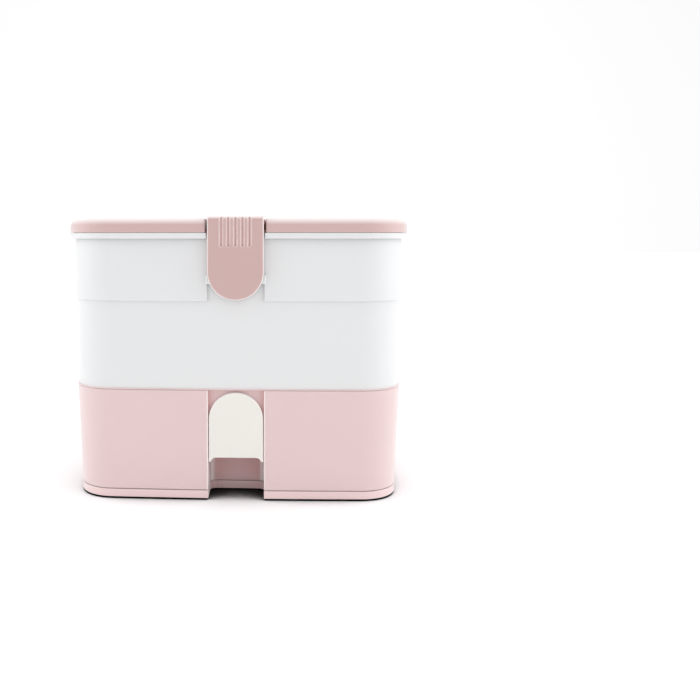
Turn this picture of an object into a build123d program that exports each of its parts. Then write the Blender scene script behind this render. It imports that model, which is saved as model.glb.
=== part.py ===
from build123d import *
import os

# Make-up storage case: a pink drawer tier under a white container, closed by a pink
# lid with a folding carry handle and a front latch. Millimetres, +Z up, the front faces
# -Y, and the origin is the middle of the floor that the feet stand on.

# ---------------------------------------------------------------- driving dimensions
# Plan: every tier is a bowed, round-cornered rectangle about the same corner centres,
# and its reach is how far its outline lies from them.
corner_x = 96.0
corner_y = 55.0
front_bow = 3.0
side_bow = 1.5
lid_reach = 40.0
band_reach = 36.0
wall_reach = 34.2
wall_draft = 1.0
base_reach = 30.0
tier_flare = 4.0

# Heights, from the floor up
foot_height = 1.4
base_height = 6.0
drawer_gap = 0.6
drawer_front_height = 77.4
deck_gap = 0.3
deck_thickness = 1.0
lower_wall_height = 67.4
band_height = 47.7
rim_height = 4.3
lid_gap = 0.3
lid_height = 10.8

# Moulded walls
case_wall = 2.4
tier_wall = 2.6
lid_wall = 2.2
tray_wall = 1.6
bin_wall = 2.0
seat_gap = 0.6
slide_gap = 0.5
ledge_width = 2.0
ledge_height = 2.0

# Rim of the container and locating rib of the lid
rim_lip = 2.0
rim_plate = 2.2
rib_thickness = 1.6
rib_drop = 2.6
rib_gap = 1.2
edge_round = 0.8
deck_round = 0.5
lid_round = 5.5

# Hinge
hinge_x = 62.0
hinge_inset = 1.0
knuckle_radius = 2.8
knuckle_length = 22.0
lug_length = 7.0
lug_depth = 2.8
lug_side_gap = 0.3
pin_access = 4.0
hinge_pin_radius = 1.2
pin_bevel = 0.3
pin_fit = 0.02
running_fit = 0.06

# Latch
latch_width = 43.0
latch_plate = 3.0
latch_rise = 2.3
latch_drop = 62.2
latch_flange = 2.4
latch_flange_depth = 2.2
latch_setback = 23.0
latch_barrel_radius = 4.5
latch_pin_radius = 1.5
latch_shoulder = 3.2
latch_edge_round = 1.0
groove_count = 5
groove_pitch = 5.4
groove_width = 2.8
groove_depth = 1.0
groove_length = 23.8
groove_run = 9.0
hook_width = 26.0
hook_height = 5.6
hook_gap = 0.6
hook_clearance = 0.8
hook_lead = 1.9
bay_side_gap = 1.8
bay_floor = 1.8
bay_clearance = 3.0
rim_notch_gap = 1.0
lid_notch_gap = 0.8

# Catch bar and the notch under it on the container
catch_width = 46.4
catch_height = 6.8
catch_depth = 2.2
catch_round = 1.0
notch_width = 44.0
notch_height = 13.2

# Carry handle, folded flat in the lid
handle_width = 150.0
handle_reach = 52.0
handle_grip = 13.0
handle_arm = 11.0
handle_thickness = 7.6
handle_corner = 14.0
handle_inner_corner = 8.0
handle_round = 2.0
handle_sink = 0.3
pocket_gap = 0.8
pocket_floor_gap = 0.5
pocket_floor = 1.8
trunnion_radius = 2.4
trunnion_length = 3.6
scoop_width = 52.0
scoop_depth = 14.0
scoop_corner = 6.0

# Lift-out tray
tray_floor = 1.8
tray_rib_y = 6.0
tray_rib_x = 42.0
tray_rib_drop = 6.0

# Drawer front, finger alcove and pull
channel_width = 43.0
channel_depth = 4.0
alcove_depth = 26.0
alcove_height = 50.0
alcove_wall = 2.2
alcove_corner = 5.0
side_seam_setback = 3.0
shelf_thickness = 2.0
channel_round = 1.2
front_edge_round = 0.6
pull_gap = 0.6
pull_sink = 0.7
pull_thickness = 3.2
pull_top_margin = 1.9
pull_height = 53.8
pull_edge_rise = 3.3
pull_ear = 1.2
pull_notch_round = 4.5
pull_edge_round = 0.6

# Drawer bin, its divider, runners and stop
bin_corner = 22.0
bin_floor = 2.0
divider_y = 22.0
divider_thickness = 1.6
divider_drop = 12.0
divider_guide = 1.4
divider_guide_reach = 2.0
divider_play = 0.3
runner_x = 70.0
runner_width = 5.0
runner_margin = 8.0
runner_rise = 1.0
drawer_travel = 110.0
stop_width = 60.0
stop_thickness = 2.0
stop_drop = 2.2
stop_tab_rise = 2.1

# Screws, their bosses and the feet
screw_radius = 1.5
screw_head_radius = 2.8
screw_head_height = 1.8
screw_slot = 0.8
screw_slot_length = 3.6
screw_crown = 0.6
screw_point = 0.5
screw_play = 0.1
bore_extra = 0.5
boss_radius = 3.8
boss_y_front = -40.0
boss_y_rear = 50.0
boss_height = 18.0
boss_sink = 0.4
base_screw_length = 13.0
post_radius = 3.6
post_height = 8.0
post_y = 40.0
post_wall_gap = 2.0
deck_screw_length = 9.0
front_screw_x = 45.0
front_screw_low = 18.0
front_screw_high = 52.0
front_screw_length = 4.4
pull_screw_x = 10.0
pull_screw_drop = 14.0
pull_screw_length = 4.6
foot_radius = 7.0
foot_recess = 0.8
foot_inset = 28.0
foot_round = 0.6

# ---------------------------------------------------------------- heights and places
base_z = foot_height
base_top_z = base_z + base_height
drawer_z = base_top_z + drawer_gap
drawer_top_z = drawer_z + drawer_front_height
deck_z = drawer_top_z + deck_gap
deck_top_z = deck_z + deck_thickness
band_z = deck_top_z + lower_wall_height
rim_z = band_z + band_height
rim_top_z = rim_z + rim_height
lid_z = rim_top_z + lid_gap
lid_top_z = lid_z + lid_height
ledge_z = band_z + case_wall
rib_z = lid_z - rib_drop

tier_slope = tier_flare / drawer_front_height
deck_reach = base_reach + (deck_z - drawer_z) * tier_slope
wall_foot_reach = wall_reach - wall_draft
base_front_y = corner_y + base_reach
lid_front_y = corner_y + lid_reach
seam_y = corner_y - side_seam_setback

hinge_y = lid_front_y - hinge_inset
hinge_z = rim_top_z - knuckle_radius
latch_proud = knuckle_radius - hinge_inset
latch_front_y = lid_front_y + latch_proud
latch_back_y = latch_front_y - latch_plate
latch_pin_y = lid_front_y - latch_setback
latch_pin_z = lid_z + bay_floor + latch_barrel_radius + lid_gap
latch_top_z = lid_top_z + latch_rise
latch_tip_z = lid_top_z - latch_drop
bay_half = latch_width / 2 + bay_side_gap
bay_rear_y = latch_pin_y - latch_barrel_radius - bay_clearance
notch_front_y = latch_back_y - latch_flange_depth - lid_notch_gap
latch_pin_length = 2 * (bay_half + lid_wall)
catch_z = band_z + notch_height
catch_front_y = corner_y + band_reach + catch_depth

handle_z = lid_top_z - handle_sink - handle_thickness / 2
pocket_z = handle_z - handle_thickness / 2 - pocket_floor_gap

alcove_y = base_front_y - alcove_depth
alcove_top_z = drawer_z + alcove_height
runner_z = base_top_z + runner_rise
bin_z = runner_z + lid_gap
bin_top_z = drawer_top_z - shelf_thickness - lid_gap
boss_x = corner_x + base_reach - tier_wall - boss_radius + boss_sink
bin_half_width = boss_x - boss_radius - slide_gap
bin_half_depth = base_front_y - tier_wall - slide_gap
post_x = corner_x + wall_foot_reach - case_wall - post_radius - post_wall_gap
foot_x = corner_x + base_reach - foot_inset
foot_y = corner_y + base_reach - foot_inset
pull_top_z = drawer_top_z - pull_top_margin
pull_bottom_z = pull_top_z - pull_height
far = 2 * lid_front_y
same_place = 0.001


# ---------------------------------------------------------------- shared shapes
def bowed_outline(half_width, half_depth, corner):
    """Round-cornered rectangle whose four sides bow gently outwards."""
    end_x = half_width - side_bow
    end_y = half_depth - front_bow
    sides = [
        ThreePointArc((-end_x, -end_y), (0, -half_depth), (end_x, -end_y)),
        ThreePointArc((end_x, -end_y), (half_width, 0), (end_x, end_y)),
        ThreePointArc((end_x, end_y), (0, half_depth), (-end_x, end_y)),
        ThreePointArc((-end_x, end_y), (-half_width, 0), (-end_x, -end_y)),
    ]
    face = make_face(sides)
    return fillet(face.vertices(), corner)


def outline(reach):
    """Plan of a tier at a given reach from the shared corner centres."""
    return bowed_outline(corner_x + reach, corner_y + reach, reach)


def slab(reach, low, high):
    """Straight-sided tier between two heights."""
    return Pos(0, 0, low) * extrude(outline(reach), amount=high - low)


def flared(low_reach, high_reach, low, high):
    """Tier whose reach changes evenly between two heights."""
    foot = Pos(0, 0, low) * outline(low_reach)
    head = Pos(0, 0, high) * outline(high_reach)
    return loft([foot, head], ruled=True)


def drawer_tier(inset, low, high):
    """Flared drawer tier between two heights, its faces set in by inset."""
    foot = base_reach + (low - drawer_z) * tier_slope - inset
    head = base_reach + (high - drawer_z) * tier_slope - inset
    return flared(foot, head, low, high)


def block(x_span, y_span, z_span):
    """Box between two values on each axis."""
    spans = (x_span, y_span, z_span)
    size = [high - low for low, high in spans]
    middle = [(high + low) / 2 for low, high in spans]
    return Pos(*middle) * Box(*size)


def x_rod(radius, middle_x, y, z, length):
    """Round bar along X."""
    return Pos(middle_x, y, z) * Rot(0, 90, 0) * Cylinder(radius, length)


def z_rod(radius, x, y, low, high):
    """Round bar along Z between two heights."""
    return Pos(x, y, (low + high) / 2) * Cylinder(radius, high - low)


def edges_at_height(solid, z):
    """Edges that lie flat at one height."""
    return solid.edges().filter_by_position(Axis.Z, z - same_place, z + same_place)


def screw(length):
    """Cross-slotted screw along +Z: head below the origin, shank above it."""
    head = Pos(0, 0, -screw_head_height / 2) * Cylinder(screw_head_radius, screw_head_height)
    head = fillet(edges_at_height(head, -screw_head_height), screw_crown)
    shank = Pos(0, 0, length / 2) * Cylinder(screw_radius, length)
    shank = chamfer(edges_at_height(shank, length), screw_point)
    slot = Box(screw_slot_length, screw_slot, screw_head_height)
    slot += Box(screw_slot, screw_slot_length, screw_head_height)
    return head + shank - Pos(0, 0, -screw_head_height) * slot


def save(solid, name):
    """Write one named node; a group is given as a list of separate solids."""
    shape = Compound(children=solid) if isinstance(solid, list) else solid
    export_step(shape, f"parts/{name}.step")


boss_places = [(side * boss_x, y) for side in (-1, 1) for y in (boss_y_front, boss_y_rear)]
post_places = [(side * post_x, end * post_y) for side in (-1, 1) for end in (-1, 1)]
foot_places = {
    f"foot_{end_name}_{side_name}": (side * foot_x, end * foot_y)
    for end_name, end in (("front", -1), ("rear", 1))
    for side_name, side in (("left", -1), ("right", 1))
}


# ---------------------------------------------------------------- feet and base plate
def foot(x, y):
    """Round rubber pad let into the underside of the base plate."""
    pad = z_rod(foot_radius, x, y, 0, base_z + foot_recess)
    return fillet(edges_at_height(pad, 0), foot_round)


def notch_tool(wall, low, high):
    """Space of the finger notch, grown by wall on its three closed sides."""
    half = channel_width / 2 + wall
    tool = block((-half, half), (-far, -alcove_y + wall), (low, high))
    inner = tool.edges().filter_by(Axis.Z).group_by(Axis.Y)[-1]
    return fillet(inner, alcove_corner + wall)


def base_plate():
    """Shallow tray under the drawer, notched at the front for the fingers."""
    body = slab(base_reach, base_z, base_top_z)
    body = fillet(edges_at_height(body, base_z), edge_round)
    hollow = slab(base_reach - tier_wall, base_z + tier_wall, base_top_z)
    hollow -= notch_tool(tier_wall, base_z, base_top_z)
    body = body - hollow - notch_tool(0, 0, drawer_z)
    runner_span = bin_half_depth - runner_margin
    for side in (-1, 1):
        inner = side * runner_x - runner_width / 2
        outer = side * runner_x + runner_width / 2
        body += block((inner, outer), (-runner_span, runner_span), (base_z + tier_wall, runner_z))
    for x, y in boss_places:
        body += z_rod(boss_radius, x, y, base_z + tier_wall, base_top_z)
        body -= z_rod(screw_radius + screw_play, x, y, base_z, base_top_z)
        head_top = base_z + screw_head_height + screw_play
        body -= z_rod(screw_head_radius + screw_play, x, y, base_z, head_top)
    for x, y in foot_places.values():
        body -= z_rod(foot_radius + screw_play, x, y, base_z, base_z + foot_recess)
    return body


def base_screws():
    """Screws from below that hold the base plate to the housing."""
    seat_z = base_z + screw_head_height + screw_play
    return [Pos(x, y, seat_z) * screw(base_screw_length) for x, y in boss_places]


# ---------------------------------------------------------------- drawer housing
def drawer_housing():
    """Deck with the side and rear walls that enclose the drawer."""
    deck = slab(deck_reach, deck_z, deck_top_z)
    deck = fillet(edges_at_height(deck, deck_top_z), deck_round)
    body = drawer_tier(0, base_top_z, deck_z) + deck
    body -= drawer_tier(tier_wall, base_top_z, deck_z)
    body -= block((-far, far), (-far, -seam_y + slide_gap), (base_top_z, deck_z))
    for x, y in boss_places:
        bore_top = base_z + screw_head_height + base_screw_length + bore_extra
        body += z_rod(boss_radius, x, y, base_top_z, base_top_z + boss_height)
        body -= z_rod(screw_radius + pin_fit, x, y, base_top_z, bore_top)
    for x, y in post_places:
        body -= z_rod(screw_radius + screw_play, x, y, deck_z, deck_top_z)
    stop_y = bin_half_depth - bin_wall - drawer_travel
    stop = block(
        (-stop_width, stop_width),
        (stop_y - slide_gap - stop_thickness, stop_y - slide_gap),
        (deck_z - stop_drop, deck_z),
    )
    return body + stop


def deck_screws():
    """Screws from below the deck into the corner posts of the container."""
    return [Pos(x, y, deck_z) * screw(deck_screw_length) for x, y in post_places]


# ---------------------------------------------------------------- container
def latch_step(half, reach, low, high):
    """Space in front of a wall plane, between two heights at the latch."""
    return block((-half, half), (-far, 0), (low, high)) - slab(reach, low, high)


def case_outside():
    """Lower wall and wider band, stepped back under the catch."""
    lower = flared(wall_foot_reach, wall_reach, deck_top_z, band_z)
    band = slab(band_reach, band_z, rim_top_z)
    band = fillet(edges_at_height(band, band_z), edge_round)
    return lower + band - latch_step(notch_width / 2, wall_reach, band_z, catch_z)


def case_inside():
    """Hollow of the container, with the ledge for the tray."""
    floor_z = deck_top_z + case_wall
    under_ledge_z = ledge_z - ledge_height
    foot = wall_foot_reach - case_wall
    head = wall_reach - case_wall
    lower = flared(foot, head, floor_z, under_ledge_z)
    mouth = slab(head - ledge_width, under_ledge_z, ledge_z)
    upper = slab(band_reach - case_wall, ledge_z, rim_top_z)
    upper -= latch_step(notch_width / 2 + case_wall, head, ledge_z, catch_z + case_wall)
    return lower + mouth + upper


def catch_bar():
    """Bar on the band that the latch hooks under."""
    band_y = corner_y + band_reach
    bar = block(
        (-catch_width / 2, catch_width / 2),
        (-catch_front_y, -band_y + case_wall / 2),
        (catch_z, catch_z + catch_height),
    )
    front = bar.edges().group_by(Axis.Y)[0]
    return fillet(front, catch_round)


def rim():
    """Flange with a turned-down lip, as wide as the lid above it."""
    outer = slab(lid_reach, rim_z, rim_top_z)
    outer = fillet(edges_at_height(outer, rim_z), edge_round)
    under = slab(lid_reach - rim_lip, rim_z, rim_top_z - rim_plate)
    notch_half = latch_width / 2 + rim_notch_gap
    notch = block((-notch_half, notch_half), (-far, -notch_front_y), (rim_z, rim_top_z))
    return outer - under - notch


def hinge_barrel(x_span, web_y, web_z):
    """Barrel about the hinge axis with the web that joins it to its shell."""
    length = x_span[1] - x_span[0]
    middle = (x_span[0] + x_span[1]) / 2
    barrel = x_rod(knuckle_radius, middle, hinge_y, hinge_z, length)
    return barrel + block(x_span, web_y, web_z)


def hinge_lugs(body, side):
    """Open a bay in the rear rim and fill its ends with two bored lugs."""
    half_knuckle = knuckle_length / 2 + lug_side_gap
    half_bay = half_knuckle + lug_length + pin_access
    middle = side * hinge_x
    bay_y = hinge_y - knuckle_radius - lid_gap
    body -= block((middle - half_bay, middle + half_bay), (bay_y, far), (rim_z, rim_top_z))
    web_y = (hinge_y - knuckle_radius - lug_depth, hinge_y)
    web_z = (hinge_z - knuckle_radius, rim_top_z)
    for end in (-1, 1):
        near = middle + end * half_knuckle
        body += hinge_barrel(sorted((near, near + end * lug_length)), web_y, web_z)
    bore_length = 2 * (half_knuckle + lug_length)
    return body - x_rod(hinge_pin_radius + pin_fit, middle, hinge_y, hinge_z, bore_length)


def case_body():
    """White container: one moulding with band, catch, rim, hinge lugs and posts."""
    body = case_outside() + catch_bar() + rim() - case_inside()
    for side in (-1, 1):
        body = hinge_lugs(body, side)
    floor_z = deck_top_z + case_wall
    for x, y in post_places:
        body += z_rod(post_radius, x, y, floor_z, floor_z + post_height)
        bore_top = deck_z + deck_screw_length + bore_extra
        body -= z_rod(screw_radius + pin_fit, x, y, deck_top_z, bore_top)
    return body


def hinge_pin(side):
    """Steel pin through two lugs and the knuckle between them."""
    length = knuckle_length + 2 * (lug_side_gap + lug_length)
    pin = x_rod(hinge_pin_radius, side * hinge_x, hinge_y, hinge_z, length)
    return chamfer(pin.edges().filter_by(GeomType.CIRCLE), pin_bevel)


# ---------------------------------------------------------------- lift-out tray
def inner_tray():
    """Tray that rests on the ledge inside the band, with moulded compartments."""
    top_z = rib_z - seat_gap
    reach = band_reach - case_wall - seat_gap
    half = notch_width / 2 + case_wall + seat_gap
    recess_y = -corner_y - wall_reach + case_wall + seat_gap
    recess_top = catch_z + case_wall + seat_gap
    body = slab(reach, ledge_z, top_z)
    body = fillet(edges_at_height(body, ledge_z), edge_round)
    body -= block((-half, half), (-far, recess_y), (ledge_z, recess_top))
    hollow = slab(reach - tray_wall, ledge_z + tray_floor, top_z)
    hollow -= block(
        (-half - tray_wall, half + tray_wall),
        (-far, recess_y + tray_wall),
        (ledge_z, recess_top + tray_wall),
    )
    inside = slab(reach - tray_wall / 2, ledge_z, top_z)
    rib_top = top_z - tray_rib_drop
    rib_span = (tray_rib_y - tray_wall / 2, tray_rib_y + tray_wall / 2)
    ribs = block((-far, far), rib_span, (ledge_z, rib_top))
    half_wall = tray_wall / 2
    for side in (-1, 1):
        rib_x = side * tray_rib_x
        ribs += block(
            (rib_x - half_wall, rib_x + half_wall), (-far, tray_rib_y), (ledge_z, rib_top)
        )
    ribs += block((-half_wall, half_wall), (tray_rib_y, far), (ledge_z, rib_top))
    ribs = ribs & inside
    ribs -= block((-half, half), (-far, recess_y), (ledge_z, recess_top))
    return body - hollow + ribs


# ---------------------------------------------------------------- drawer
def bin_space(wall, low, high):
    """Plan of the drawer bin, set in by wall and clear of the finger alcove."""
    plan = bowed_outline(bin_half_width - wall, bin_half_depth - wall, bin_corner - wall)
    space = Pos(0, 0, low) * extrude(plan, amount=high - low)
    return space - notch_tool(alcove_wall + slide_gap + wall, low, high)


def drawer_bin():
    """Open bin behind the drawer front, shaped round the alcove."""
    rear_y = bin_half_depth
    tab_top = bin_top_z + stop_tab_rise
    tabs = block((-stop_width, stop_width), (rear_y - bin_wall, far), (bin_top_z, tab_top))
    above = block((-far, far), (-far, far), (bin_top_z, tab_top)) - tabs
    body = bin_space(0, bin_z, tab_top) - above
    body -= bin_space(bin_wall, bin_z + bin_floor, tab_top)
    guide_top = bin_top_z - divider_drop
    slot = divider_thickness / 2 + divider_play
    for side in (-1, 1):
        wall_x = side * (bin_half_width - bin_wall)
        for end in (-1, 1):
            near_y = divider_y + end * slot
            away_y = near_y + end * divider_guide
            body += block(
                sorted((wall_x + side, wall_x - side * divider_guide_reach)),
                sorted((near_y, away_y)),
                (bin_z + bin_floor, guide_top),
            ) & bin_space(bin_wall / 2, bin_z, bin_top_z)
        for z in (front_screw_low, front_screw_high):
            bore = Pos(side * front_screw_x, -bin_half_depth, drawer_z + z) * Rot(90, 0, 0)
            body -= bore * Cylinder(screw_radius + screw_play, 2 * tier_wall + bin_wall)
    return body


def drawer_divider():
    """Removable cross wall held between guides on the bin's sides."""
    half = bin_half_width - bin_wall - divider_play
    thickness = (divider_y - divider_thickness / 2, divider_y + divider_thickness / 2)
    top_z = bin_top_z - divider_drop
    wall = block((-half, half), thickness, (bin_z + bin_floor, top_z))
    corners = wall.edges().filter_by(Axis.Y).group_by(Axis.Z)[-1]
    wall = fillet(corners, alcove_corner)
    return wall & bin_space(bin_wall + divider_play, bin_z, bin_top_z)


def front_screw_axis(x, z):
    """Frame on the bin's inner face, looking forwards."""
    drop = front_bow * (x / bin_half_width) ** 2
    seat_y = -bin_half_depth + bin_wall + drop + screw_play
    return Pos(x, seat_y, drawer_z + z) * Rot(90, 0, 0)


def channel_step(wall):
    """Space between the front face and the back of the channel, grown by wall."""
    half = channel_width / 2 + wall
    back = drawer_tier(channel_depth + wall, drawer_z, drawer_top_z)
    return block((-half, half), (-far, 0), (0, deck_z)) - back


def drawer_front_face():
    """Outside of the drawer tier with its centre channel and rounded edges."""
    tier = drawer_tier(0, drawer_z, drawer_top_z)
    rims = edges_at_height(tier, drawer_top_z) + edges_at_height(tier, drawer_z)
    face = fillet(rims, front_edge_round) - channel_step(0)
    upright = face.edges().filter_by(
        lambda edge: edge.length > drawer_front_height / 2
        and abs(abs(edge.center().X) - channel_width / 2) < same_place
        and edge.center().Y < -base_front_y
    )
    return fillet(upright, channel_round)


def drawer_front():
    """Wrap-round front with its centre channel, alcove and closed top edge."""
    hollow = drawer_tier(tier_wall, drawer_z, drawer_top_z - shelf_thickness)
    hollow -= channel_step(tier_wall)
    ahead = block((-far, far), (-far, -seam_y), (0, deck_z))
    well = bin_space(bin_wall, drawer_top_z - 2 * shelf_thickness, deck_z)
    body = (drawer_front_face() - hollow - well) & ahead

    alcove = notch_tool(alcove_wall, drawer_z, alcove_top_z + alcove_wall)
    body += alcove & drawer_tier(tier_wall / 2 + channel_depth, drawer_z, drawer_top_z)
    body -= notch_tool(0, 0, alcove_top_z)

    keep_out = bin_space(0, 0, deck_z)
    for side in (-1, 1):
        for z in (front_screw_low, front_screw_high):
            axis = front_screw_axis(side * front_screw_x, z)
            boss = axis * Cylinder(boss_radius, 4 * tier_wall)
            boss = (boss & drawer_tier(tier_wall / 2, drawer_z, drawer_top_z)) - keep_out
            body += boss
            bore_length = 2 * (front_screw_length + bore_extra)
            body -= axis * Cylinder(screw_radius + pin_fit, bore_length)
        body -= pull_screw_axis(side) * Cylinder(screw_radius + screw_play, 4 * tier_wall)
    return body


def drawer_front_screws():
    """Screws from inside the bin into the bosses behind the front."""
    return [
        front_screw_axis(side * front_screw_x, z) * screw(front_screw_length)
        for side in (-1, 1)
        for z in (front_screw_low, front_screw_high)
    ]


def pull_screw_axis(side):
    """Frame on the inner face of the channel, looking forwards."""
    z = drawer_top_z - pull_screw_drop
    face_y = base_front_y + (z - drawer_z) * tier_slope - channel_depth - tier_wall
    tilt = screw_head_radius * tier_slope + screw_play
    return Pos(side * pull_screw_x, -face_y + tilt, z) * Rot(90, 0, 0)


def drawer_pull():
    """White arched tab that hangs over the alcove."""
    half = channel_width / 2 - pull_gap
    arch_z = pull_top_z - half
    tab = block((-half, half), (-far, 0), (pull_bottom_z, arch_z))
    tab += Pos(0, -far / 2, arch_z) * Rot(90, 0, 0) * Cylinder(half, far)
    cut_half = half - pull_ear
    opening = block((-cut_half, cut_half), (-far, 0), (0, pull_bottom_z + pull_edge_rise))
    upper = opening.edges().filter_by(Axis.Y).group_by(Axis.Z)[-1]
    tab -= fillet(upper, pull_notch_round)
    front = drawer_tier(pull_sink, drawer_z, drawer_top_z)
    back = drawer_tier(pull_sink + pull_thickness, drawer_z, drawer_top_z)
    tab = (tab & front) - back
    tab = fillet(tab.faces().sort_by(Axis.Y)[0].edges(), pull_edge_round)
    for side in (-1, 1):
        tab -= pull_screw_axis(side) * Cylinder(screw_radius + pin_fit, 2 * pull_screw_length)
    return tab


def pull_screws():
    """Screws from behind the channel into the pull."""
    return [pull_screw_axis(side) * screw(pull_screw_length) for side in (-1, 1)]


# ---------------------------------------------------------------- lid
def handle_pocket(gap):
    """Plan box of the folded handle, grown by gap, as x, y and corner sizes."""
    half = handle_width / 2 + gap
    front = -handle_thickness / 2 - gap
    return (-half, half), (front, handle_reach + gap), handle_corner + gap


def rear_rounded(x_span, y_span, z_span, corner):
    """Block whose two rear upright edges are rounded."""
    solid = block(x_span, y_span, z_span)
    rear = solid.edges().filter_by(Axis.Z).group_by(Axis.Y)[-1]
    return fillet(rear, corner)


def pocket_parts():
    """Solid that carries the handle pocket, and the U-shaped space cut from it."""
    x_span, y_span, corner = handle_pocket(pocket_gap)
    under_z = pocket_z - pocket_floor
    wide = lid_wall
    carrier = rear_rounded(
        (x_span[0] - wide, x_span[1] + wide),
        (y_span[0] - wide, y_span[1] + wide),
        (under_z, lid_top_z - lid_wall / 2),
        corner + wide,
    )
    scoop_x = (-scoop_width / 2, scoop_width / 2)
    scoop_y = (handle_reach, handle_reach + scoop_depth)
    carrier += rear_rounded(
        (scoop_x[0] - wide, scoop_x[1] + wide),
        (scoop_y[0], scoop_y[1] + wide),
        (under_z, lid_top_z - lid_wall / 2),
        scoop_corner + wide,
    )
    island_x = handle_width / 2 - handle_arm - pocket_gap
    island_y = (y_span[0], handle_reach - handle_grip - pocket_gap)
    island_corner = handle_inner_corner - pocket_gap
    island = rear_rounded((-island_x, island_x), island_y, (0, lid_top_z), island_corner)
    space = rear_rounded(x_span, y_span, (pocket_z, lid_top_z), corner)
    space += rear_rounded(scoop_x, scoop_y, (pocket_z, lid_top_z), scoop_corner)
    space -= island
    hollow_x = island_x - lid_wall
    hollow_y = (island_y[0] + lid_wall, island_y[1] - lid_wall)
    hollow = block((-hollow_x, hollow_x), hollow_y, (0, lid_top_z - lid_wall))
    return carrier, space, hollow


def pocket_edges(body):
    """Edges of the handle pocket and its island in the lid's top face."""
    half = handle_width / 2 + pocket_gap + same_place
    rear = handle_reach + scoop_depth + same_place
    return edges_at_height(body, lid_top_z).filter_by(
        lambda edge: abs(edge.center().X) < half and abs(edge.center().Y) < rear
    )


def bay_edges(body):
    """Edges of the latch bay that show from above and from the front."""
    def shows(edge):
        middle = edge.center()
        near_top = middle.Z > lid_top_z - lid_round / 2
        near_front = middle.Y < -lid_front_y + lid_round / 2
        side = abs(abs(middle.X) - bay_half) < same_place
        rear = abs(middle.X) < same_place and abs(middle.Y + bay_rear_y) < same_place
        return (side and (near_top or near_front)) or (rear and near_top)

    return body.edges().filter_by(shows)


def lid_form(inset):
    """Lid with its top edge rounded, its faces set in by inset."""
    top_z = lid_top_z - inset
    form = slab(lid_reach - inset, lid_z, top_z)
    return fillet(edges_at_height(form, top_z), lid_round - inset)


def lid_shell():
    """Shallow lid with a pocket for the handle, a bay for the latch and hinge knuckles."""
    body = fillet(edges_at_height(lid_form(0), lid_z), edge_round / 2) - lid_form(lid_wall)
    rib_reach = band_reach - case_wall - rib_gap
    rib = slab(rib_reach, rib_z, lid_top_z - lid_wall)
    rib -= slab(rib_reach - rib_thickness, rib_z, lid_top_z - lid_wall)
    body += rib

    carrier, space, hollow = pocket_parts()
    body = body + carrier - space - hollow
    pocket_half = handle_width / 2 + pocket_gap
    body = fillet(pocket_edges(body), edge_round)
    for side in (-1, 1):
        bore_x = side * (pocket_half + lid_wall / 2)
        body -= x_rod(trunnion_radius + running_fit, bore_x, 0, handle_z, 2 * lid_wall)

    walls_half = bay_half + lid_wall
    frame = block((-walls_half, walls_half), (-far, -bay_rear_y + lid_wall), (lid_z, lid_top_z))
    body += frame & lid_form(lid_wall / 2)
    body -= block((-bay_half, bay_half), (-far, -bay_rear_y), (lid_z + bay_floor, lid_top_z))
    body -= block((-bay_half, bay_half), (-far, -notch_front_y), (0, lid_top_z))
    body = fillet(bay_edges(body), edge_round)
    boss_length = bay_side_gap - lid_gap
    for side in (-1, 1):
        boss_x_middle = side * (bay_half - boss_length / 2)
        body += x_rod(latch_barrel_radius - lid_gap, boss_x_middle, -latch_pin_y, latch_pin_z,
                      boss_length)
    body -= x_rod(latch_pin_radius + pin_fit, 0, -latch_pin_y, latch_pin_z, latch_pin_length)

    half_knuckle = knuckle_length / 2
    web_y = (hinge_y - knuckle_radius, hinge_y)
    web_z = (hinge_z, lid_z + lid_wall)
    for side in (-1, 1):
        middle = side * hinge_x
        body += hinge_barrel((middle - half_knuckle, middle + half_knuckle), web_y, web_z)
        body -= x_rod(hinge_pin_radius + running_fit, middle, hinge_y, hinge_z, knuckle_length)
    return body


def latch_pin():
    """Steel pin across the latch bay."""
    pin = x_rod(latch_pin_radius, 0, -latch_pin_y, latch_pin_z, latch_pin_length)
    return chamfer(pin.edges().filter_by(GeomType.CIRCLE), pin_bevel)


def carry_handle():
    """Bail handle that folds flat towards the rear, with moulded trunnions."""
    half = handle_width / 2
    low = handle_z - handle_thickness / 2
    high = handle_z + handle_thickness / 2
    body = rear_rounded((-half, half), (0, handle_reach), (low, high), handle_corner)
    inner_x = half - handle_arm
    inner_y = handle_reach - handle_grip
    body -= rear_rounded((-inner_x, inner_x), (-far, inner_y), (low, high), handle_inner_corner)
    long_edges = edges_at_height(body, low) + edges_at_height(body, high)
    body = fillet(long_edges.filter_by(lambda edge: edge.center().Y > same_place), handle_round)
    for side in (-1, 1):
        arm_x = side * (half - handle_arm / 2)
        eye = x_rod(handle_thickness / 2, arm_x, 0, handle_z, handle_arm)
        body += fillet(eye.edges().filter_by(GeomType.CIRCLE), handle_round)
        trunnion_x = side * (half + (trunnion_length - handle_arm) / 2)
        body += x_rod(trunnion_radius, trunnion_x, 0, handle_z, trunnion_length + handle_arm)
    return body


# ---------------------------------------------------------------- latch
def arch_tool(half, tip_z, y_span):
    """Upright bar whose lower end is a half round."""
    centre_z = tip_z + half
    bar = block((-half, half), y_span, (centre_z, latch_top_z + latch_rise))
    length = y_span[1] - y_span[0]
    middle_y = (y_span[0] + y_span[1]) / 2
    return bar + Pos(0, middle_y, centre_z) * Rot(90, 0, 0) * Cylinder(half, length)


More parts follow.
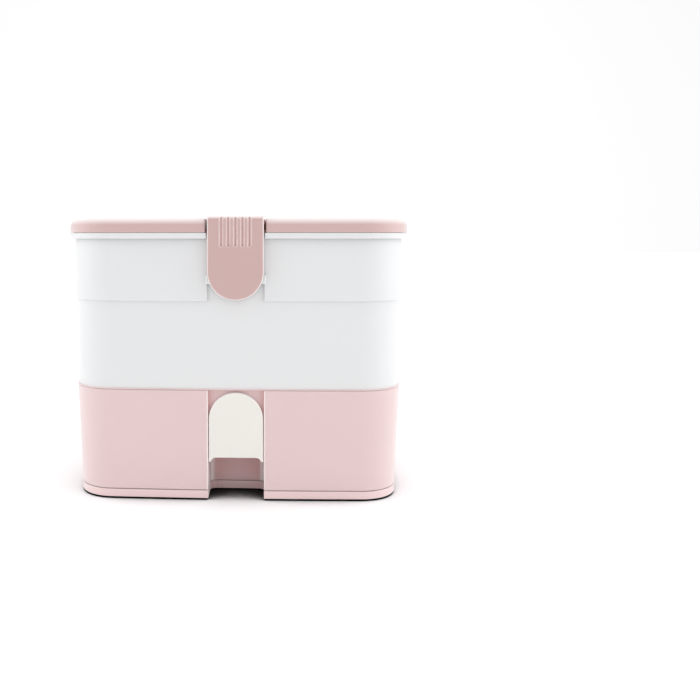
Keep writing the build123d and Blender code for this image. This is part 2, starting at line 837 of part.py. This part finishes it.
def latch_profile():
    """Side view of the front plate and the arm that runs back to the pin."""
    front = -latch_front_y
    back = -latch_back_y
    barrel_top = latch_pin_z + latch_barrel_radius
    outer = Polyline(
        (front, latch_tip_z),
        (front, latch_top_z),
        (-latch_pin_y, barrel_top),
        (-latch_pin_y, barrel_top - latch_plate),
        (back, latch_top_z - latch_plate),
        (back, latch_tip_z),
        close=True,
    )
    face = make_face(outer)
    shoulder = face.vertices().sort_by_distance((front, latch_top_z, 0))[0]
    face = fillet(shoulder, latch_shoulder)
    face += Pos(-latch_pin_y, latch_pin_z) * Circle(latch_barrel_radius)
    return Plane.YZ * face


def latch():
    """Over-centre tab with grooves for the fingers and a hook behind it."""
    half = latch_width / 2
    body = extrude(latch_profile(), amount=half, both=True)
    arch = arch_tool(half, latch_tip_z, (-latch_front_y, 0))
    body = body & fillet(arch.edges().group_by(Axis.Y)[0], latch_edge_round)
    flange_y = (-latch_back_y, -latch_back_y + latch_flange_depth)
    flange = arch_tool(half, latch_tip_z, flange_y)
    flange -= arch_tool(half - latch_flange, latch_tip_z + latch_flange, flange_y)
    beside_catch = (catch_z - hook_gap, catch_z + catch_height + hook_gap)
    flange -= block((-half, half), flange_y, beside_catch)
    body += flange & block((-half, half), flange_y, (0, latch_top_z - latch_plate))
    hook_top = catch_z - hook_gap
    wall_front_y = corner_y + wall_reach
    hook = block(
        (-hook_width / 2, hook_width / 2),
        (-latch_back_y - latch_plate / 2, -wall_front_y - hook_clearance),
        (hook_top - hook_height, hook_top),
    )
    nose = hook.edges().filter_by(Axis.X).group_by(Axis.Y)[-1]
    body += chamfer(nose.sort_by(Axis.Z)[0], hook_lead)
    groove_z = latch_top_z - groove_length
    groove_radius = (groove_width ** 2 / 4 + groove_depth ** 2) / (2 * groove_depth)
    groove_y = -latch_front_y + groove_depth - groove_radius
    groove_top_z = latch_top_z - groove_depth + groove_radius
    for index in range(groove_count):
        x = (index - (groove_count - 1) / 2) * groove_pitch
        body -= z_rod(groove_radius, x, groove_y, groove_z, groove_top_z)
        run = Pos(x, groove_y + groove_run / 2, groove_top_z) * Rot(90, 0, 0)
        body -= run * Cylinder(groove_radius, groove_run)
    body -= x_rod(latch_pin_radius + running_fit, 0, -latch_pin_y, latch_pin_z, latch_width)
    return body


# ---------------------------------------------------------------- write every node
os.makedirs("parts", exist_ok=True)
for foot_name, (foot_at_x, foot_at_y) in foot_places.items():
    save(foot(foot_at_x, foot_at_y), foot_name)
save(base_plate(), "base_plate")
save(base_screws(), "base_screws")
save(drawer_housing(), "drawer_housing")
save(deck_screws(), "deck_screws")
save(case_body(), "case_body")
save(hinge_pin(-1), "hinge_pin_left")
save(hinge_pin(1), "hinge_pin_right")
save(inner_tray(), "inner_tray")
save(drawer_bin(), "drawer_bin")
save(drawer_divider(), "drawer_divider")
save(drawer_front(), "drawer_front")
save(drawer_front_screws(), "drawer_front_screws")
save(drawer_pull(), "drawer_pull")
save(pull_screws(), "pull_screws")
save(lid_shell(), "lid_shell")
save(latch_pin(), "latch_pin")
save(carry_handle(), "carry_handle")
save(latch(), "latch")
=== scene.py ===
import math

import bpy
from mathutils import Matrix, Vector

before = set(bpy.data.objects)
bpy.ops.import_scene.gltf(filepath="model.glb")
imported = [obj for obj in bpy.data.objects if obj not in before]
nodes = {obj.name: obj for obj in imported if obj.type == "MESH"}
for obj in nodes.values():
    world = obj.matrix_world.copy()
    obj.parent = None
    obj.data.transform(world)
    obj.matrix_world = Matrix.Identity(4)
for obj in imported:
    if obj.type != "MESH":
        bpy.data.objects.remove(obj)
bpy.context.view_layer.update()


# ---------------------------------------------------------------- base plate
# The shallow pink tray that closes the case from below. It is injection moulded in the
# same fine satin plastic as the drawer tier, and four screws hold it from underneath.
# Its pink is a lighter copy of the drawer tier's pink: painted light on the base strip.
base_lit_pink = (0.77, 0.58, 0.575)
shell_roughness = 0.40


def add_node(tree, kind, **values):
    """A node of a kind, with values for its sockets by name."""
    node = tree.nodes.new("ShaderNode" + kind)
    for name, value in values.items():
        node.inputs[name.replace("_", " ")].default_value = value
    return node


def maths(tree, operation, first, second):
    """A maths node whose two inputs are numbers or other nodes' outputs."""
    node = tree.nodes.new("ShaderNodeMath")
    node.operation = operation
    for socket, value in zip(node.inputs, (first, second)):
        if isinstance(value, bpy.types.NodeSocket):
            tree.links.new(value, socket)
        else:
            socket.default_value = value
    return node.outputs["Value"]


def stretched(tree, start, scale):
    """Object coordinates stretched by a scale on each axis."""
    mapping = add_node(tree, "Mapping", Scale=scale)
    tree.links.new(start, mapping.inputs["Vector"])
    return mapping.outputs["Vector"]


def noise(tree, place, scale, detail):
    """Noise value at a place, with a number or another output as its scale."""
    node = add_node(tree, "TexNoise", Detail=detail)
    tree.links.new(place, node.inputs["Vector"])
    if isinstance(scale, bpy.types.NodeSocket):
        tree.links.new(scale, node.inputs["Scale"])
    else:
        node.inputs["Scale"].default_value = scale
    return node.outputs["Fac"]


def ramp(tree, value, low, high):
    """A value spread so that low becomes 0 and high becomes 1."""
    node = add_node(tree, "MapRange", From_Min=low, From_Max=high)
    tree.links.new(value, node.inputs["Value"])
    return node.outputs["Result"]


def rounding(tree, lean):
    """1 where a face leans between square-on and edge-on to an axis, as on a rounded edge, to
    place painted highlights.
    """
    lean = maths(tree, "ABSOLUTE", lean, 0.0)
    off_flat = ramp(tree, lean, 0.15, 0.80)
    short_of_top = ramp(tree, lean, 1.0, 0.93)
    return maths(tree, "MULTIPLY", off_flat, short_of_top)


def edge_rounding_and_highlight(group, radius):
    """Normal rounded over edges by a radius, and a mask that is 1 on the edges, for painted
    highlights and polish.
    """
    rounded = group.nodes.new("ShaderNodeBevel")
    rounded.samples = 6
    group.links.new(radius, rounded.inputs["Radius"])
    flat = group.nodes.new("ShaderNodeNewGeometry").outputs["Normal"]
    facing = group.nodes.new("ShaderNodeVectorMath")
    facing.operation = "DOT_PRODUCT"
    group.links.new(rounded.outputs["Normal"], facing.inputs[0])
    group.links.new(flat, facing.inputs[1])
    return rounded.outputs["Normal"], ramp(group, facing.outputs["Value"], 1.0, 0.82)


def recess_shade_mask(group):
    """Mask for painted shade: 1 deep in a channel or notch of the part itself, 0 on its open
    faces.
    """
    shelter = add_node(group, "AmbientOcclusion", Distance=0.045)
    shelter.samples = 4
    shelter.only_local = True
    return ramp(group, shelter.outputs["AO"], 0.95, 0.35)


def skin_colour(group, colour, drift, painted_highlight, painted_shade):
    """A drifting colour with painted highlights along edges, and painted shade that makes it
    richer and darker in hollows.
    """
    highlight_white = (0.95, 0.90, 0.89, 1)
    strongest_highlight, painted_bounce_saturation, painted_shade_strength = 0.9, 0.9, 0.3
    tint = group.nodes.new("ShaderNodeHueSaturation")
    group.links.new(colour, tint.inputs["Color"])
    painted_bounce_richness = maths(group, "MULTIPLY", painted_shade, painted_bounce_saturation)
    group.links.new(maths(group, "ADD", painted_bounce_richness, 1.0), tint.inputs["Saturation"])
    group.links.new(maths(group, "ADD", drift, 1.0), tint.inputs["Value"])
    highlight_mix = add_node(group, "MixRGB", Color2=highlight_white)
    group.links.new(maths(group, "MINIMUM", painted_highlight, strongest_highlight), highlight_mix.inputs["Fac"])
    group.links.new(tint.outputs["Color"], highlight_mix.inputs["Color1"])
    painted_shade_multiply = group.nodes.new("ShaderNodeMixRGB")
    painted_shade_multiply.blend_type = "MULTIPLY"
    group.links.new(maths(group, "MULTIPLY", painted_shade, painted_shade_strength), painted_shade_multiply.inputs["Fac"])
    group.links.new(highlight_mix.outputs["Color"], painted_shade_multiply.inputs["Color1"])
    group.links.new(highlight_mix.outputs["Color"], painted_shade_multiply.inputs["Color2"])
    return painted_shade_multiply.outputs["Color"]


def moulded_skin():
    """Skin of a moulded part: drifting tint, fine grain, hairlines, painted highlights on edges,
    painted shade in hollows.
    """
    group = bpy.data.node_groups.new("moulded_skin", "ShaderNodeTree")
    group.interface.new_socket(name="Colour", in_out="INPUT", socket_type="NodeSocketColor")
    for name in ("Drift", "Grain", "Hairlines", "Roughness", "Edge Radius", "Edge Highlight",
                 "Rim Highlight", "Side Highlight"):
        group.interface.new_socket(name=name, in_out="INPUT", socket_type="NodeSocketFloat")
    for name, kind in (("Colour", "Color"), ("Roughness", "Float"), ("Height", "Float"),
                       ("Normal", "Vector")):
        group.interface.new_socket(
            name=name, in_out="OUTPUT", socket_type="NodeSocket" + kind)
    given = group.nodes.new("NodeGroupInput").outputs
    result = group.nodes.new("NodeGroupOutput").inputs
    own = group.nodes.new("ShaderNodeTexCoord").outputs
    place = own["Object"]

    cloud_scale, cloud_detail = 17.0, 3.0
    cloud = maths(group, "SUBTRACT", noise(group, place, cloud_scale, cloud_detail), 0.5)
    grain = noise(group, place, given["Grain"], 1.5)
    hairline_scale = (9.0, 9.0, 640.0)
    streaks = noise(group, stretched(group, place, hairline_scale), 1.0, 2.0)
    scuffed = maths(group, "MULTIPLY", ramp(group, streaks, 0.64, 0.74), given["Hairlines"])

    rounded, edge = edge_rounding_and_highlight(group, given["Edge Radius"])
    tilt = group.nodes.new("ShaderNodeSeparateXYZ")
    group.links.new(own["Normal"], tilt.inputs["Vector"])
    # Painted highlights: the colour pales on bevelled edges, on rounded rims and on upright
    # rounded edges.
    painted_highlight = maths(group, "MULTIPLY", edge, given["Edge Highlight"])
    for axis, highlight_amount in (("Z", "Rim Highlight"), ("X", "Side Highlight")):
        rounded_highlight = maths(group, "MULTIPLY", rounding(group, tilt.outputs[axis]), given[highlight_amount])
        painted_highlight = maths(group, "ADD", painted_highlight, rounded_highlight)

    drift = maths(group, "MULTIPLY", cloud, given["Drift"])
    # Painted highlights pale the colour on edges; painted shade darkens and enriches it in the
    # part's own hollows.
    colour = skin_colour(group, given["Colour"], drift, painted_highlight, recess_shade_mask(group))
    group.links.new(colour, result["Colour"])

    roughness_wander, edge_polish = 0.16, -0.08
    rough = maths(group, "ADD", given["Roughness"],
                  maths(group, "MULTIPLY", cloud, roughness_wander))
    polish = maths(group, "MULTIPLY", edge, edge_polish)
    rough = maths(group, "ADD", rough, maths(group, "ADD", scuffed, polish))
    group.links.new(rough, result["Roughness"])
    group.links.new(maths(group, "SUBTRACT", grain, scuffed), result["Height"])
    group.links.new(rounded, result["Normal"])
    return group


skin_group = moulded_skin()


def moulded(name, colour, roughness, grain=2600.0, depth=4e-6, drift=0.05, hairlines=0.06,
            edge_radius=4e-4, edge_highlight=0.10, rim_highlight=0.12, sheen=0.8):
    """Material of one moulded plastic, with its own grain, painted edge highlights and painted
    shade in hollows.
    """
    material = bpy.data.materials.new(name)
    material.use_nodes = True
    tree = material.node_tree
    shader = tree.nodes["Principled BSDF"]
    skin = tree.nodes.new("ShaderNodeGroup")
    skin.node_tree = skin_group
    values = {
        "Colour": (*colour, 1), "Drift": drift, "Grain": grain, "Hairlines": hairlines,
        "Roughness": roughness, "Edge Radius": edge_radius, "Edge Highlight": edge_highlight,
        "Rim Highlight": rim_highlight, "Side Highlight": 0.0,
    }
    for socket, value in values.items():
        skin.inputs[socket].default_value = value
    bump = add_node(tree, "Bump", Strength=1.0, Distance=depth)
    tree.links.new(skin.outputs["Height"], bump.inputs["Height"])
    tree.links.new(skin.outputs["Normal"], bump.inputs["Normal"])
    tree.links.new(skin.outputs["Colour"], shader.inputs["Base Color"])
    tree.links.new(skin.outputs["Roughness"], shader.inputs["Roughness"])
    tree.links.new(bump.outputs["Normal"], shader.inputs["Normal"])
    shader.inputs["IOR"].default_value = 1.49
    shader.inputs["Sheen Weight"].default_value = sheen
    shader.inputs["Sheen Roughness"].default_value = 0.5
    return material


def dress(material, *names):
    """Put a material on CAD nodes by name."""
    for name in names:
        for slot in nodes[name].material_slots:
            slot.material = material


base_plastic = moulded("base_plastic", base_lit_pink, shell_roughness)
dress(base_plastic, "base_plate")


# ---------------------------------------------------------------- feet
# Four soft pads let into the underside of the base plate. They are die-cut from grey
# pink rubber, so they are matt and show a fine open grain.
pad_pink = (0.30, 0.23, 0.23)
pad_rubber = moulded("pad_rubber", pad_pink, roughness=0.82, grain=1500.0, depth=3e-5,
                     hairlines=0.0, edge_highlight=0.04)
dress(pad_rubber, "foot_front_left", "foot_front_right", "foot_rear_left", "foot_rear_right")


# ---------------------------------------------------------------- drawer tier
# The housing carries the container and encloses the drawer at the sides and rear. The
# drawer front wraps round the front corners; both are moulded in the same pink.
shell_pink = (0.685, 0.515, 0.51)
channel_edges = (0.018, 0.026)


def paint_side_highlights(material, span, highlight_amount, inner=0.0):
    """Painted highlights on upright rounded edges, by an amount at distances from the middle
    plane in a span.
    """
    nearest, farthest = span
    tree = material.node_tree
    place = tree.nodes.new("ShaderNodeSeparateXYZ")
    tree.links.new(tree.nodes.new("ShaderNodeTexCoord").outputs["Object"], place.inputs["Vector"])
    reach = maths(tree, "ABSOLUTE", place.outputs["X"], 0.0)
    beyond = maths(tree, "GREATER_THAN", reach, nearest)
    within = maths(tree, "LESS_THAN", reach, farthest)
    highlight_here = maths(tree, "MULTIPLY", maths(tree, "MULTIPLY", beyond, within), highlight_amount - inner)
    highlight_here = maths(tree, "ADD", highlight_here, inner)
    skins = [node for node in tree.nodes if node.type == "GROUP"]
    tree.links.new(highlight_here, skins[0].inputs["Side Highlight"])


shell_plastic = moulded("shell_plastic", shell_pink, shell_roughness)
dress(shell_plastic, "drawer_housing")
# The drawer front carries painted highlights on its top edge and on the upright edges of its
# channel.
front_plastic = moulded("front_plastic", shell_pink, shell_roughness, rim_highlight=0.3)
paint_side_highlights(front_plastic, channel_edges, highlight_amount=0.9)
dress(front_plastic, "drawer_front")


# ---------------------------------------------------------------- pull
# Arched tab in the channel of the drawer front, moulded in cream white with a smoother
# skin than the shells, and screwed on from behind.
pull_cream = (0.76, 0.735, 0.69)
pull_edges = (0.0, 0.03)
# Strong painted highlights pale its rounded edges: along the arch, the lower edge and the upright
# sides.
pull_plastic = moulded("pull_plastic", pull_cream, roughness=0.32, grain=3200.0, depth=2e-6,
                       drift=0.03, hairlines=0.03, edge_radius=7e-4, edge_highlight=1.4,
                       rim_highlight=0.8)
paint_side_highlights(pull_plastic, pull_edges, highlight_amount=0.8)
dress(pull_plastic, "drawer_pull")


# ---------------------------------------------------------------- drawer bin and divider
# White open bin that slides on the base plate's runners, with a loose cross wall between
# guides. Inside parts have a plainer, more matt skin.
bin_white = (0.76, 0.76, 0.755)
bin_plastic = moulded("bin_plastic", bin_white, roughness=0.48, grain=1900.0, depth=6e-6,
                      hairlines=0.10)
dress(bin_plastic, "drawer_bin", "drawer_divider")


# ---------------------------------------------------------------- container and tray
# The white container is one deep moulding with a stepped band and a rim flange. The
# tray rests on the ledge behind the step and has the plainer skin of the bin.
container_white = (0.70, 0.706, 0.71)
# Painted highlights pale its rounded edges, such as the bottom edge of the band and the rim.
white_plastic = moulded("white_plastic", container_white, roughness=0.34, grain=2900.0,
                        depth=3e-6, drift=0.02, hairlines=0.05, edge_highlight=0.5, rim_highlight=0.6,
                        sheen=0.6)
dress(white_plastic, "case_body")
dress(bin_plastic, "inner_tray")


# ---------------------------------------------------------------- lid and carry handle
# The lid turns on two pins at the rear. The handle folds flat into a pocket of the lid, on
# moulded trunnions. Both are coloured a darker pink than the drawer tier, which is painted shade,
# and their rounded edges carry painted highlights.
lid_shaded_pink = (0.56, 0.385, 0.372)
lid_plastic = moulded("lid_plastic", lid_shaded_pink, roughness=0.36, grain=2700.0, depth=3e-6,
                      edge_highlight=0.16, rim_highlight=0.6)
dress(lid_plastic, "lid_shell", "carry_handle")


# ---------------------------------------------------------------- latch
# Tab that hangs from a pin in the lid and snaps under the rim. It is moulded in pink, coloured a
# little darker than the lid as painted shade, with painted highlights on the smooth edges along
# its outline and its five finger grooves.
latch_shaded_pink = (0.535, 0.36, 0.345)
outline_edges = (0.0145, 0.022)
latch_plastic = moulded("latch_plastic", latch_shaded_pink, roughness=0.30, grain=2700.0, depth=3e-6,
                        edge_radius=8e-4, edge_highlight=1.4, rim_highlight=0.8)
paint_side_highlights(latch_plastic, outline_edges, highlight_amount=0.8, inner=0.4)
dress(latch_plastic, "latch")


# ---------------------------------------------------------------- pins and screws
# Plain pins of drawn steel carry the lid and the latch. Zinc-plated cross-slot screws
# hold the base plate, the container, the drawer front and the pull.
steel_grey = (0.68, 0.68, 0.69)
drawing_scale = (60.0, 4200.0, 4200.0)
zinc_grey = (0.66, 0.67, 0.66)
plating_scale = (1500.0, 1500.0, 1500.0)


def metal(name, colour, roughness, scale):
    """Metal whose roughness and tint follow surface marks of a given scale."""
    roughness_spread, mark_depth = 0.16, 4e-6
    material = bpy.data.materials.new(name)
    material.use_nodes = True
    tree = material.node_tree
    shader = tree.nodes["Principled BSDF"]
    shader.inputs["Metallic"].default_value = 1.0
    place = stretched(tree, tree.nodes.new("ShaderNodeTexCoord").outputs["Object"], scale)
    marks = noise(tree, place, 1.0, 3.0)
    tint = add_node(tree, "HueSaturation", Color=(*colour, 1))
    tree.links.new(ramp(tree, marks, -3.2, 1.3), tint.inputs["Value"])
    tree.links.new(tint.outputs["Color"], shader.inputs["Base Color"])
    rough = maths(tree, "ADD", maths(tree, "MULTIPLY", marks, roughness_spread),
                  roughness - roughness_spread / 2)
    tree.links.new(rough, shader.inputs["Roughness"])
    bump = add_node(tree, "Bump", Strength=1.0, Distance=mark_depth)
    tree.links.new(marks, bump.inputs["Height"])
    tree.links.new(bump.outputs["Normal"], shader.inputs["Normal"])
    return material


drawn_steel = metal("drawn_steel", steel_grey, 0.24, drawing_scale)
zinc_plate = metal("zinc_plate", zinc_grey, 0.34, plating_scale)
dress(drawn_steel, "hinge_pin_left", "hinge_pin_right", "latch_pin")
dress(zinc_plate, "base_screws", "deck_screws", "drawer_front_screws", "pull_screws")


# ---------------------------------------------------------------- floor
# A plain white light table that runs out of sight in every direction. Its glow and its colour
# fade where the case covers it: painted shadow under and beside the case.
table_span = 24.0
table_white = (0.93, 0.93, 0.94)
near_reach, nook_reach = 0.03, 0.06

bpy.ops.mesh.primitive_plane_add(size=table_span, location=(0, 0, 0))
floor = bpy.context.object
floor.name = "floor"
table_top = bpy.data.materials.new("table_top")
table_top.use_nodes = True
table_tree = table_top.node_tree
table_shader = table_tree.nodes["Principled BSDF"]
table_shader.inputs["Roughness"].default_value = 0.75
table_shader.inputs["Specular IOR Level"].default_value = 0.2
table_shader.inputs["Emission Color"].default_value = (1, 1, 1, 1)


def openness(distance):
    """How open the table is above a spot, within a distance."""
    node = add_node(table_tree, "AmbientOcclusion", Distance=distance)
    node.samples = 12
    return node.outputs["AO"]


# Painted shadow: AO near the case and in its nooks dims the table's glow and darkens its colour.
near_open = openness(near_reach)
glow_with_painted_shadow = ramp(table_tree, near_open, 0.45, 5.0)
table_tree.links.new(glow_with_painted_shadow, table_shader.inputs["Emission Strength"])
nook_painted_shadow = ramp(table_tree, openness(nook_reach), 0.30, 0.53)
lit = maths(table_tree, "MULTIPLY", ramp(table_tree, near_open, 0.2, 0.53), nook_painted_shadow)
table_colour_with_painted_shadow = add_node(table_tree, "HueSaturation", Color=(*table_white, 1))
table_tree.links.new(lit, table_colour_with_painted_shadow.inputs["Value"])
table_tree.links.new(table_colour_with_painted_shadow.outputs["Color"], table_shader.inputs["Base Color"])
floor.data.materials.append(table_top)


# ---------------------------------------------------------------- light
# A white tent that lights the case from everywhere, with soft windows at both sides that
# fade its corners, a skylight and a brighter wall behind.
tent_strength = 0.7
room = bpy.data.worlds.new("room")
bpy.context.scene.world = room
room.use_nodes = True
sky = room.node_tree
direction = sky.nodes.new("ShaderNodeTexCoord").outputs["Generated"]


def lobe(toward, sharpness, strength):
    """Light that is strongest toward one direction and fades away from it."""
    facing = sky.nodes.new("ShaderNodeVectorMath")
    facing.operation = "DOT_PRODUCT"
    sky.links.new(direction, facing.inputs[0])
    facing.inputs[1].default_value = Vector(toward).normalized()
    one_way = maths(sky, "MAXIMUM", facing.outputs["Value"], 0.0)
    return maths(sky, "MULTIPLY", maths(sky, "POWER", one_way, sharpness), strength)


left_window = lobe((-0.95, -0.12, 0.2), sharpness=6.0, strength=2.0)
right_window = lobe((0.95, -0.12, 0.2), sharpness=6.0, strength=2.4)
rear_wall = lobe((0.0, 1.0, 0.0), sharpness=2.0, strength=0.35)
skylight = lobe((0.0, 0.0, 1.0), sharpness=4.0, strength=0.3)
total = tent_strength
for light in (left_window, right_window, rear_wall, skylight):
    total = maths(sky, "ADD", light, total)
sky.links.new(total, sky.nodes["Background"].inputs["Strength"])
sky.nodes["Background"].inputs["Color"].default_value = (1, 1, 1, 1)

bpy.context.scene.view_settings.view_transform = "Standard"
bpy.context.scene.view_settings.look = "None"


# ---------------------------------------------------------------- camera
# Level with the rim, a little to the right of the front, with the frame shifted so that
# the case stands left of the middle.
picture_side = 700
principal_x, principal_y = 240.4, 240.0
focal_pixels = 779.2
camera_distance = 0.685
camera_height = 0.2007
camera_turn = math.radians(2.3)

camera_data = bpy.data.cameras.new("camera")
camera_data.sensor_width = 36.0
camera_data.lens = focal_pixels / picture_side * camera_data.sensor_width
camera_data.shift_x = (picture_side / 2 - principal_x) / picture_side
camera_data.shift_y = (principal_y - picture_side / 2) / picture_side
camera_data.clip_start = 0.01
camera_data.clip_end = 100.0
camera = bpy.data.objects.new("camera", camera_data)
bpy.context.scene.collection.objects.link(camera)
away = Vector((math.sin(camera_turn), -math.cos(camera_turn), 0.0))
camera.location = away * camera_distance + Vector((0, 0, camera_height))
camera.rotation_euler = (-away).to_track_quat("-Z", "Y").to_euler()
bpy.context.scene.camera = camera
